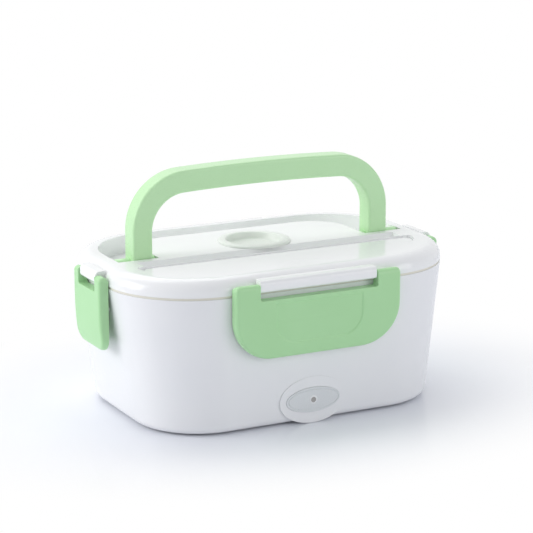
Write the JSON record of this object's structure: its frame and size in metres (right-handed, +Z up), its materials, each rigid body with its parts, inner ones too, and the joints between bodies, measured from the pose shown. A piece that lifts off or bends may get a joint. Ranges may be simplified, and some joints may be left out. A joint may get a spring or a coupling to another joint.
{
  "type": "electric lunch box",
  "caption": "Portable heated food box: a tub with a heater plate, a lift-out tray, a latched lid with a steam vent and spoon bay, and a folding carry handle.",
  "frame": {"origin": "on the resting surface, under the middle of the box", "axes": "+X along the length to the right seen from the front, -Y out of the front with the wide latch and the indicator, +Z up"},
  "size_m": [0.249, 0.166, 0.159],
  "materials": {
    "white_pp": "glossy injection moulded polypropylene, white",
    "liner_pp": "satin moulded polypropylene, white",
    "mint_pp": "glossy injection moulded polypropylene, light mint green",
    "tray_pp": "natural translucent polypropylene, satin",
    "silicone": "soft cream silicone",
    "feet_tpe": "pale grey soft plastic, matt",
    "heater_alu": "rolled aluminium, satin",
    "steel": "zinc plated steel",
    "brass": "nickel free brass, bright",
    "phenolic": "dark phenolic moulding",
    "fuse_sleeve": "glass fibre sleeve",
    "wire_pvc": "soft plastic insulation, blue and brown",
    "inlet_pp": "off-white moulding",
    "indicator_abs": "pale glossy moulding",
    "lamp_lens": "smoked clear lens, unlit",
    "board": "green circuit board"
  },
  "bodies": {
    "base": {"outer_shell": "white_pp", "inner_liner": "liner_pp", "bottom_cover": "white_pp", "feet": "feet_tpe", "cover_screws": "steel", "heater_plate": "heater_alu", "ptc_heater": "heater_alu", "heater_clamp": "steel", "clamp_screws": "steel", "thermostat": "phenolic", "thermal_fuse": "fuse_sleeve", "wires": "wire_pvc", "inlet_socket": "inlet_pp", "inlet_pins": "brass", "indicator_plate": "indicator_abs", "indicator_lamp": "lamp_lens", "lamp_board": "board"},
    "tray": {"food_tray": "tray_pp"},
    "container": {"side_container": "tray_pp"},
    "lid": {"lid_shell": "white_pp", "inner_lid": "liner_pp", "lid_seal": "silicone", "spoon": "white_pp"},
    "vent": {"vent_plug": "white_pp"},
    "spoon_door": {"spoon_cover": "white_pp"},
    "handle": {"handle": "mint_pp"},
    "latch_front": {"latch_front": "mint_pp"},
    "latch_back": {"latch_back": "mint_pp"},
    "latch_left": {"latch_left": "mint_pp"},
    "latch_right": {"latch_right": "mint_pp"}
  },
  "joints": [
    {"name": "tray_lift", "type": "slide", "parent": "base", "child": "tray", "axis": [0, 0, 1], "range_m": [0, 0.0864]},
    {"name": "container_lift", "type": "slide", "parent": "tray", "child": "container", "axis": [0, 0, 1], "range_m": [0, 0.0864]},
    {"name": "lid_lift", "type": "slide", "parent": "container", "child": "lid", "axis": [0, 0, 1], "range_m": [0, 0.0864]},
    {"name": "vent_pull", "type": "slide", "parent": "lid", "child": "vent", "axis": [0, 0, 1], "range_m": [0, 0.016]},
    {"name": "spoon_cover_hinge", "type": "hinge", "parent": "lid", "child": "spoon_door", "pos_m": [0, -0.0262, 0.0996], "axis": [-1, 0, 0], "range_deg": [0, 90]},
    {"name": "handle_fold", "type": "hinge", "parent": "lid", "child": "handle", "pos_m": [0, 0.002, 0.0985], "axis": [-1, 0, 0], "range_deg": [0, 90]},
    {"name": "latch_front_hinge", "type": "hinge", "parent": "lid", "child": "latch_front", "pos_m": [0, -0.0799, 0.0948], "axis": [-1, 0, 0], "range_deg": [0, 110]},
    {"name": "latch_back_hinge", "type": "hinge", "parent": "lid", "child": "latch_back", "pos_m": [0, 0.0799, 0.0948], "axis": [1, 0, 0], "range_deg": [0, 110]},
    {"name": "latch_left_hinge", "type": "hinge", "parent": "lid", "child": "latch_left", "pos_m": [-0.1214, 0, 0.0948], "axis": [0, 1, 0], "range_deg": [0, 110]},
    {"name": "latch_right_hinge", "type": "hinge", "parent": "lid", "child": "latch_right", "pos_m": [0.1214, 0, 0.0948], "axis": [0, -1, 0], "range_deg": [0, 110]}
  ]
}
